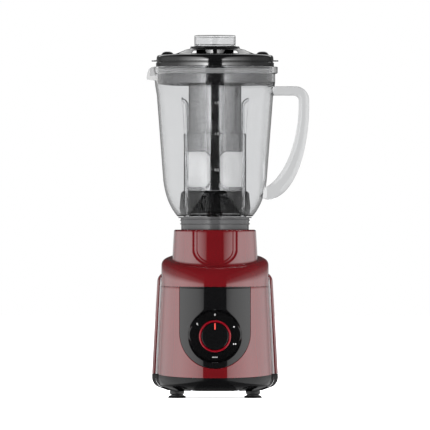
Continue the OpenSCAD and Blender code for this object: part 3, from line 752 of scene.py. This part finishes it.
def front_housing():
    """The front shell: two sides that meet below the panel's opening."""
    gap, columns, low_rows = 0.3, 56, 5

    def point(side, a, z):
        return (side * front_r(z) * math.cos(a), -front_r(z) * math.sin(a), z)

    heights = [PANEL_LOW_Z - (PANEL_W + gap) * math.cos(math.radians(3 * k)) for k in range(31)]
    heights += [blend_between(PANEL_LOW_Z, SEAM_Z - 0.15, k / 14) for k in range(1, 15)]
    quarter = [math.radians(90 * k / columns) for k in range(columns + 1)]
    sides = []
    for side in (-1, 1):
        rows = []
        for j in range(low_rows):
            row = []
            for a in quarter:
                foot = COVER_Z + 0.15 - COVER_DIP * math.sin(a)
                row.append(point(side, a, blend_between(foot, heights[0], j / low_rows)))
            rows.append(row)
        for z in heights:
            edge = math.acos(opening_half_width(z, gap) / front_r(z))
            rows.append([point(side, edge * k / columns, z) for k in range(columns + 1)])
        sides.append(sheet(f"front_side{side}", rows))
    shell = joined("front_housing_shell", sides)
    tidy(shell)
    face_outwards(shell)
    thicken(shell, WALL)
    round_edges(shell, 0.25, 50)
    placed(shell, "base", "red_shell", "front_housing")


def rear_housing():
    """The rear shell, whose front edge turns in to the front shell."""
    bend_z, edge_y = 134, 0.5
    heights = [blend_between(COVER_Z + 0.15, bend_z, k / 24) for k in range(24)]
    section = [(rear_r(z), z) for z in heights] + arc((rear_r(bend_z) - 12, bend_z), 12, 0, 62, 10)
    turns = [math.radians(1.5 * k) for k in range(3, 118)]
    rows = []
    for r, z in section:
        inner = min(front_r(min(z, SEAM_Z)) + 0.35, r - 0.2)
        lip = min(REAR_LIP, r - inner - 0.1)
        corner = [(*spot, z) for spot in arc((r - lip, edge_y + lip), lip, -90, 0, 8)]
        row = [(inner, edge_y, z)] + corner + [(r * math.cos(a), r * math.sin(a), z) for a in turns]
        row += [(-x, y, z) for x, y, z in reversed(corner)] + [(-inner, edge_y, z)]
        rows.append(row)
    shell = sheet("rear_housing_shell", rows)
    face_outwards(shell)
    thicken(shell, 2.2)
    round_edges(shell, 0.5, 50, 3)
    placed(shell, "base", "dark_red_shell", "rear_housing")


def side_trim(side, name, node_name):
    """A silver strip in the step between the shells, down to the slant of the bottom cover."""
    bend = arc((FRONT_LOW_R - CORNER_R, CORNER_Z), CORNER_R, -64, 0, 8)
    line = bend + [(front_r(z), z) for z in (32, 60, 90, SEAM_Z)] + [(SHOULDER_R, 139.5)]
    rings = []
    for k, (x, z) in enumerate(line):
        before, after = Vector(line[max(k - 1, 0)]), Vector(line[min(k + 1, len(line) - 1)])
        along = (after - before).normalized()
        out = Vector((along.y, -along.x))
        width = 1.9 if 0 < k < len(line) - 1 else 0.7
        section = rounded_rect(width, 1.25, 0.3, 2, (0.02 + width / 2, -0.66))
        rings.append([(side * (x + out.x * a), b, z + out.y * a) for a, b in section])
    placed(lofted(name, rings), "base", "trim", node_name)


def outline_reach(angle, grow):
    """How far the panel's outline is from the dial's centre in a direction."""
    half, top = PANEL_W + grow, SEAM_Z - 0.15 + grow
    rise, up = PANEL_LOW_Z - DIAL_Z, math.sin(angle)
    reach = rise * up + math.sqrt((rise * up) ** 2 - rise ** 2 + half ** 2)
    if DIAL_Z + reach * up <= PANEL_LOW_Z:
        return reach
    to_side = half / max(abs(math.cos(angle)), 1e-6)
    to_top = (top - DIAL_Z) / max(up, 1e-6)
    return min(to_side, to_top)


def on_front(x, z):
    """The point of the front shell's curve at an x and a height."""
    return (x, -math.sqrt(front_r(z) ** 2 - x * x), z)


def control_panel():
    """The black panel: the dial's flat floor, its flared wall and the curved face round it."""
    grow = -0.2
    corner = math.atan2(SEAM_Z - 0.15 + grow - DIAL_Z, PANEL_W + grow)
    angles = sorted([2 * math.pi * k / 180 for k in range(180)] + [corner, math.pi - corner])
    mouth_r = DIAL_R + 2.7
    rows = []
    for r in (3.5, 14, 22, DIAL_R):
        rows.append([(r * math.cos(a), -DIAL_FLOOR, DIAL_Z + r * math.sin(a)) for a in angles])
    for t in (0.5, 1.0):
        row = []
        for a in angles:
            x, z = mouth_r * math.cos(a), DIAL_Z + mouth_r * math.sin(a)
            y = on_front(x, z)[1]
            r = blend_between(DIAL_R, mouth_r, t ** 0.8)
            row.append((r * math.cos(a), blend_between(-DIAL_FLOOR, y, t), DIAL_Z + r * math.sin(a)))
        rows.append(row)
    for k in range(1, 13):
        reaches = [blend_between(mouth_r, outline_reach(a, grow), k / 12) for a in angles]
        rows.append([on_front(r * math.cos(a), DIAL_Z + r * math.sin(a)) for r, a in zip(reaches, angles)])
    panel = sheet("control_panel_face", rows, wrap=True, smooth=24)
    face_outwards(panel)
    thicken(panel, 2.2, 24)
    round_edges(panel, 0.3, 30, 2, 24)
    placed(panel, "base", "black_gloss", "control_panel")


def bottom_cover():
    def section(r, top):
        """Down the side from its top edge, round the corner and along the slant to the flat underside."""
        start = math.degrees(math.asin(min(0.0, (top - CORNER_Z) / CORNER_R)))
        points = [(r, max(top, CORNER_Z) + 0.01)] + arc((r - CORNER_R, CORNER_Z), CORNER_R, start, -70, 12)
        last_r, last_z = points[-1]
        run = (last_z - UNDER_Z) / math.tan(math.radians(20))
        return points + [(last_r - run, UNDER_Z), (30, UNDER_Z), (0.01, UNDER_Z)]

    columns = []
    for a in [math.radians(1.5 * j) for j in range(240)]:
        towards = min(math.sin(a), 0)
        r = FRONT_LOW_R if towards < 0 else REAR_LOW_R
        points = section(r, COVER_Z - 0.15 + towards * COVER_DIP)
        if points[0][1] - points[1][1] < 0.5:
            points[0] = (points[0][0], points[1][1] + 0.3)
        columns.append([(q * math.cos(a), q * math.sin(a), z) for q, z in points])
    cover = sheet("bottom_cover_shell", list(zip(*columns)), wrap=True)
    face_outwards(cover)
    thicken(cover, WALL)
    round_edges(cover, 0.5, 40, 3)
    slots = [block(f"slot{y}", (-20, 20), (y - 1.5, y + 1.5), (2, 14)) for y in range(-18, 19, 6)]
    well = [(0, 0), (4, 0), (4, 30), (0, 30)]
    for x in (-25, 25):
        for y in (-40, 40):
            slots.append(turned(f"well{x}{y}", well, 0, 32, (x, y, 0)))
    combine(cover, slots, "DIFFERENCE", 30)
    placed(cover, "base", "black_plastic", "bottom_cover")


def feet():
    outline = [(0, 0.02), (8.6, 0.02, 0.6), (FOOT_R, 0.25, 0.3), (FOOT_R, 1.2, 0.5), (6.6, 2.5, 0.9),
               (6.6, 3.9, 0.9), (8.3, 4.9, 0.9), (8.3, UNDER_Z - 0.05, 0.5), (0, UNDER_Z - 0.05)]
    for sx, across in ((-1, "left"), (1, "right")):
        for sy, along in ((-1, "front"), (1, "rear")):
            foot = turned(f"foot_{along}_{across}", outline, 0, 72, (sx * FOOT_X, sy * FOOT_Y, 0))
            placed(foot, "base", "rubber", "feet")


def cord_gland():
    outline = [(3.6, 62, 0.2), (8.4, 62, 0.5), (8.4, 66, 0.5), (6, 66), (6, 72.5), (8.4, 72.5, 0.3),
               (8.4, 73.8, 0.8), (6.4, 75, 0.8), (3.6, 75, 0.6)]
    gland = turned("cord_gland_bush", [(r, -y, *rest) for r, y, *rest in outline], 0.1, 72, (0, 0, 40), True)
    placed(gland, "base", "black_plastic", "cord_gland")


# ---- knob and its marks ----

def knob():
    """The knob's black cap with its slot, the red ring round it and the pointer in the slot."""
    step, front, body_r, ring_r = 66, 69.4, 15.6, 18.6
    body = [(3.1, 57), (17.9, 57, 0.4), (18.2, step, 0.2), (body_r, step), (body_r, 68.7, 0.5),
            (14.4, 69, 0.5), (0, 68.7), (0, 65.2), (3.1, 65.2)]
    shell = turned("knob_cap", body, 0.1, TURN, (0, 0, DIAL_Z), True)
    slot = block("slot", (-0.95, 0.95), (-70, -68.3), (DIAL_Z + 7.6, DIAL_Z + 15.2))
    combine(shell, [slot], "DIFFERENCE", 30)
    placed(shell, "knob", "black_gloss", "knob_body")
    ring = [(body_r + 0.15, step + 0.05), (ring_r, step + 0.05, 0.3), (ring_r - 0.2, front - 0.8, 0.6),
            (ring_r - 0.8, front, 0.5), (ring_r - 1.6, front, 0.4), (body_r + 0.15, 66.9, 0.3)]
    placed(turned("knob_ring_red", ring, 0.1, TURN, (0, 0, DIAL_Z), True), "knob", "knob_red", "knob_ring")
    bar = block("knob_pointer_bar", (-0.75, 0.75), (-69.15, -68.35), (DIAL_Z + 7.65, DIAL_Z + 15.15), 0.2)
    placed(bar, "knob", "pointer_red", "knob_pointer")


def lettering(name, text, size, lay):
    """Thin raised text, laid by a function of its x, y and lift."""
    data = bpy.data.curves.new(name, "FONT")
    data.body = text
    data.size = size
    data.align_x = data.align_y = "CENTER"
    data.extrude = 0.04
    data.offset = 0.012 * size
    data.resolution_u = 6
    holder = added(name, data)
    mesh = bpy.data.meshes.new_from_object(holder)
    bpy.data.objects.remove(holder)
    points = [lay(*v.co) for v in mesh.vertices]
    faces = [tuple(p.vertices) for p in mesh.polygons]
    return make(name, points, faces, 20)


def dial_marks():
    """Zero at the top, a P for the pulse position, and one, two and three dots for the speeds."""
    for name, text, degrees in (("mark_zero", "0", 0), ("mark_pulse", "P", -55.5)):
        c, s = math.cos(math.radians(degrees)), math.sin(math.radians(degrees))

        def lay(x, y, lift, c=c, s=s):
            y += MARKS_R
            return (x * c + y * s, -DIAL_FLOOR - 0.03 - lift, DIAL_Z - x * s + y * c)

        placed(lettering(name, text, 3.6, lay), "base", "pointer_red", material=PRINT_WHITE)
    outline = [(0, DIAL_FLOOR), (0.8, DIAL_FLOOR), (0.8, DIAL_FLOOR + 0.1, 0.05), (0, DIAL_FLOOR + 0.1)]
    for count, degrees in ((1, 64), (2, 112), (3, 180)):
        a = math.radians(degrees)
        for k in range(count):
            x = MARKS_R * math.sin(a) + 2.2 * (k - (count - 1) / 2)
            centre = (x, 0, DIAL_Z + MARKS_R * math.cos(a))
            dot = turned(f"speed_dot_{count}_{k + 1}", outline, 0, 24, centre, True)
            placed(dot, "base", "pointer_red", material=PRINT_WHITE)


# ---- jar ----

BOWL_OUT = ((43.6, 210.2), (53.5, 222), (58, 236), (BOWL_R, BOWL_Z))
BOWL_IN = ((57.3, BOWL_Z), (55.3, 236.5), (51, 224), (41.5, 213.2))


def jar_radius(z):
    """Outer radius of the jar's long side."""
    return BOWL_R + (FLARE_R - BOWL_R) * (z - BOWL_Z) / (FLARE_Z - BOWL_Z)


def jar_body():
    """The jar's wall, up from its neck to the rim and down again inside."""
    outline = [(36.2, 205.2, 0.3), (36.2, 210.2, 0.3)] + curve(*BOWL_OUT, 24)
    outline += [(FLARE_R, FLARE_Z), (69.2, 361), (JAR_R, 366), (JAR_R, 375.2, 0.4), (RIM_R, 376.2, 0.8)]
    outline += [(RIM_R, RIM_Z, 0.8), (67.3, RIM_Z, 0.5), (67.3, 366), (64.9, FLARE_Z)]
    outline += curve(*BOWL_IN, 24) + [(33, 213.2, 0.4), (33, 205.2, 0.3)]
    return turned("jar_shell", outline, 0.0, 256)


def jar_rib(side, end):
    """A rib inside the wall whose top curls outwards, like a hook."""
    upright = ((213.5, 28.0, 27.0), (218, 34.8, 31.0), (225, 40.6, 35.6), (236, 45.2, 39.6),
               (252, 48.3, 42.2), (285, 50.9, 44.4), (315, 53.3, 46.4), (336, 55.0, 48.2))
    stations = [(RIB_X, z, 0.0, outer, inner) for z, outer, inner in upright]
    curl = 7
    for k in range(1, 10):
        a = math.radians(10 * k)
        x, z = RIB_X + curl * (1 - math.cos(a)), 338 + curl * math.sin(a)
        stations.append((x, z, a, 55 - k * 0.3, 48.4 + k * 0.2))
    rings = []
    for x, z, a, outer, inner in stations:
        section = rounded_rect(RIB_W, outer - inner, 1.2, 3, (0, (outer + inner) / 2))
        rings.append([(side * (x + u * math.cos(a)), end * v, z - u * math.sin(a)) for u, v in section])
    return lofted(f"rib{side}{end}", rings)


def jar_handle():
    """The handle: a flattened round section between an outer and an inner curve."""
    outer = [(66.2, 361), (72, 361), (84, 361)] + arc((93.3, 345), 16, 90, 0, 12)
    inner = [(66.2, 350.3), (72, 350.3), (82, 350.3)] + arc((91.2, 344.3), 6, 90, 0, 12)
    outer += curve((109.3, 340), (109.3, 280), (90, 229.5), (60, 229.5), 26)[1:] + [(54.8, 231.4)]
    inner += curve((97.2, 338), (97.2, 296), (80, 257), (60.5, 244.8), 26)[1:] + [(57.8, 244.2)]
    turns, squareness = [2 * math.pi * j / 32 for j in range(32)], 0.62
    section = []
    for t in turns:
        c, s = math.cos(t), math.sin(t)
        section.append((math.copysign(abs(c) ** squareness, c), math.copysign(abs(s) ** squareness, s)))
    rings = []
    for a, b in zip(outer, inner):
        middle, half = (Vector(a) + Vector(b)) / 2, (Vector(a) - Vector(b)) / 2
        rings.append([(middle.x + half.x * u, HANDLE_W / 2 * v, middle.y + half.y * u) for u, v in section])
    return lofted("handle", rings, smooth=40)


def spout_points(x0, x1, half, z0, z1):
    """The eight corners of a block in the spout, between two distances, two sides and two heights."""
    return [(-x, y, z) for x in (x0, x1) for y in (-half, half) for z in (z0, z1)]


def jar():
    """The jar with its ribs, handle and spout, and the numbers of its scale."""
    body = jar_body()
    nose = spout_points(66.5, 72.6, 17, 382.4, 383.4) + spout_points(67.6, 69.2, 16, 367.6, 369)
    nose += spout_points(76.0, 76.9, 9.6, 379.6, 380.8) + spout_points(77.6, 78.5, 6.2, 374, 376)
    nose += spout_points(78.1, 79.2, 3.4, 369, 371.6)
    spout = round_edges(wrapped("spout", nose), 0.7, 25, 3)
    parts = [spout, jar_handle()] + [jar_rib(side, end) for side in (-1, 1) for end in (-1, 1)]
    combine(body, parts, "UNION", 34)
    channel = spout_points(60, 71.2, 14.4, 374.5, 392) + spout_points(74.6, 75.4, 2.8, 373, 392)
    combine(body, [wrapped("channel", channel)], "DIFFERENCE", 34)
    placed(body, "jar", "clear_plastic", "jar")
    body.data.materials.append(HANDLE_CLEAR)
    body.data.materials.append(SPOUT_CLEAR)
    handle_index, spout_index = 1, 2
    for face in body.data.polygons:
        spot = (face.center - AXIS) / MM
        if spot.x > 0 and 226 < spot.z < 364 and spot.xy.length > jar_radius(spot.z) + 1:
            face.material_index = handle_index
        elif spot.x < -66 and abs(spot.y) < 17.6 and spot.z > 367:
            face.material_index = spout_index
    for height, text in ((340.9, "1.5"), (305.1, "1.0"), (263.6, "0.5")):
        def lay(x, y, lift, height=height):
            x, z = x + 2, height + y
            return (x, -math.sqrt((jar_radius(z) + 0.03 + lift) ** 2 - x * x), z)

        number = lettering(f"litres_{text.replace('.', '_')}", text, 4.3, lay)
        placed(number, "jar", "clear_plastic", material=PRINT_GREY)


def jar_collar():
    outline = [(36.7, 180.4, 0.3), (38.6, 180.4, 0.5), (39.2, 181.6, 0.5), (39.2, 200.4), (40.3, 200.9, 0.3),
               (40.3, 202.1, 0.3), (39.4, 202.5), (39.4, 204.6), (40.4, 205, 0.3), (40.4, 206.2, 0.3),
               (39.6, 206.6), (39.6, 207.9), (42.4, 208.3, 0.4), (42.4, 209.7, 0.4), (36.6, 209.7),
               (36.6, 200.2), (12, 200.2), (12, 197.2), (36.7, 197.2)]
    placed(turned("jar_collar_ring", outline, 0.15), "jar", "grey_plastic", "jar_collar")


# ---- lid, filter and cap ----

def lid():
    """The lid: skirt with a groove for the seal, brim, stepped crown and the bore for the cap."""
    skirt = [(64, 364, 0.5), (SKIRT_R, 364, 0.5), (SKIRT_R, 375.8, 0.2), (SEAL_R, 376, 0.1),
             (SEAL_R, 381.2, 0.1), (SKIRT_R, 381.4, 0.2), (SKIRT_R, 383.8)]
    brim = [(BRIM_R, 383.8, 0.3), (BRIM_R, 388.2, 0.5), (67.3, 388.6, 0.2), (67.3, 389.4, 0.2),
            (68, 389.8, 0.4)]
    crown = [(67.5, 397, 4.6), (56, 397.9), (46, 398.5, 1.0), (36.2, 402.4, 0.5), (35.2, 403.2, 0.4),
             (28.8, 404.6, 0.5), (28.2, 407.2, 0.5)]
    bore = [(19.7, 407.2, 0.4), (19.7, 384, 0.4), (21.6, 384, 0.4), (21.6, 402.0)]
    outline = skirt + brim + crown + bore + [(26, 402.0), (34, 399.6), (45.4, 395.6), (64, 394.2)]
    body = turned("lid_shell", outline, 0.2, 256)
    extras = [turned("ring", [(30.7, 386, 0.2), (33.2, 386, 0.2), (33.2, 400.2), (30.7, 400.6)], 0.1, 128)]
    dome = [(0, 394), (8.4, 394), (8.2, 396.6, 1.0), (5.4, 400.6, 2.4), (2, 401.4, 1.0), (0, 401.4)]
    for side in (-1, 1):
        extras.append(turned(f"dome{side}", dome, 0.6, 64, (side * 55, 0, 0)))
        ear = rounded_rect(10, 22, 2.5, 4, (side * BRIM_R, 0))
        extras.append(lofted(f"ear{side}", [[(x, y, z) for x, y in ear] for z in (389.85, 390.95)]))
    combine(body, extras, "UNION", 30)
    arch = soften([(-27.5, 398.7), (27.5, 398.7), (25.4, 402.9, 1.5), (-25.4, 402.9, 1.5)], 0.3)
    tunnel = lofted("tunnel", [[(x, y, z) for x, z in arch] for y in (-60, 60)])
    core = turned("core", [(0, 390), (21.6, 390), (21.6, 410), (0, 410)], 0, 128)
    combine(tunnel, [core], "DIFFERENCE", 30)
    combine(body, [tunnel], "DIFFERENCE", 30)
    placed(body, "lid", "black_gloss", "lid", material=LID_BLACK)
    body.data.materials.append(LID_SKIRT)
    skirt_index = 1
    for face in body.data.polygons:
        if face.center.z < RIM_Z * MM:
            face.material_index = skirt_index
    seal = [(SEAL_R, 376.2), (66.6, 376.2, 0.3), (67.1, 377.2, 0.4), (66.3, 378.6, 0.3), (67.1, 380.2, 0.4),
            (66.6, 381.1, 0.3), (SEAL_R, 381.1)]
    placed(turned("lid_seal_ring", seal, 0.2, 256), "lid", "silicone", "lid_seal")


def filter_parts():
    """The juice filter that hangs from the lid: tube, basket with four windows, base ring and mesh."""
    tube = [(28.7, BASKET_TOP_Z), (TUBE_R, BASKET_TOP_Z), (TUBE_R, 398.2, 0.4), (28.7, 398.2, 0.4)]
    placed(turned("filter_tube_wall", tube, 0.2), "lid", "filter_grey", "filter_tube")
    outline = [(TUBE_R + 0.1, BASKET_TOP_Z), (TUBE_R + 0.1, 311, 0.1), (31.2, 311, 0.3), (31.2, 306.8, 0.1),
               (BASKET_R, 306.3, 0.6), (BASKET_R, 240.1), (BORE_R, 240.1), (BORE_R, BASKET_TOP_Z)]
    basket = turned("filter_basket_wall", outline, 0.2)
    section = rounded_rect(42.4, 41, 8, 8, (0, 264.5))
    windows = []
    for k in range(2):
        rings = [[turned_by(45 + 90 * k, (u, d, z)) for u, z in section] for d in (-45, 45)]
        windows.append(lofted(f"window{k}", rings))
    combine(basket, windows, "DIFFERENCE", 30)
    placed(round_edges(basket, 0.3, 50, 2, 30), "lid", "filter_grey", "filter_basket")
    base = [(33.5, 213.7, 0.5), (40.4, 213.7, 0.8), (41.2, 219, 1.5), (39.6, 237.0, 0.8), (36.4, 239.9, 0.6),
            (34, 239.9), (33.5, 236)]
    ring = turned("filter_base_ring", base, 0.2)
    placed(ring, "lid", "filter_grey", "filter_base", material=FILTER_BASE)
    screen = [(33.78, 240.5), (34.12, 240.5), (34.12, 290), (33.78, 290)]
    placed(turned("filter_screen", screen, 0.0), "lid", "mesh", "filter_mesh")


def measuring_cap():
    waist_r = CAP_R - 0.35
    outline = [(0, TOTAL_Z), (CAP_R, TOTAL_Z, 1.2), (CAP_R, 409.4), (waist_r, 409.2), (waist_r, 408.8),
               (CAP_R, 408.6), (CAP_R, 407.55, 0.3), (19.2, 407.55), (19.0, 388.1, 0.4), (17.6, 388.1, 0.4),
               (17.6, 409.3, 0.4), (22.1, 409.3, 0.5), (22.1, 418.2, 0.6), (0, 418.2)]
    placed(turned("measuring_cap_shell", outline, 0.2), "cap", "clear_plastic", "measuring_cap")


top_cover()
front_housing()
rear_housing()
side_trim(-1, "left_trim_strip", "left_trim")
side_trim(1, "right_trim_strip", "right_trim")
control_panel()
bottom_cover()
feet()
cord_gland()
knob()
dial_marks()
jar()
jar_collar()
lid()
filter_parts()
measuring_cap()

SLOTS = {part["node"]: part["material_slot"] for part in frame["record"]["subparts"]}
for name, part in frame["nodes"].items():
    part.data.materials.clear()
    part.data.materials.append(FINISHES[SLOTS[name]])


def light_only(lights, name, chosen, shade=False):
    """The lights are seen only by the chosen pieces and, if asked, shaded only by them."""
    group = bpy.data.collections.new(name)
    for obj in bpy.data.objects:
        if obj.get("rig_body") and chosen(obj):
            group.objects.link(obj)
    for one in lights:
        one.light_linking.receiver_collection = group
        if shade:
            one.light_linking.blocker_collection = group


JAR_BODIES = ("jar", "lid", "cap", "blades")
light_only(BASE_CARDS, "base set", lambda obj: obj["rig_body"] not in JAR_BODIES)
light_only(JAR_CARDS, "jar set", lambda obj: obj["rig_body"] in JAR_BODIES and obj.name != "lid_shell")
light_only(LID_CARDS, "lid alone", lambda obj: obj.name == "lid_shell")
light_only(UNDER_CARDS, "underside", lambda obj: obj.name == "bottom_cover_shell")
MESH_FILL = area_light("mesh fill", (-0.3, -2.5, 0.9), 1.2, 10)
light_only([MESH_FILL], "mesh alone", lambda obj: obj.name == "filter_screen", shade=True)
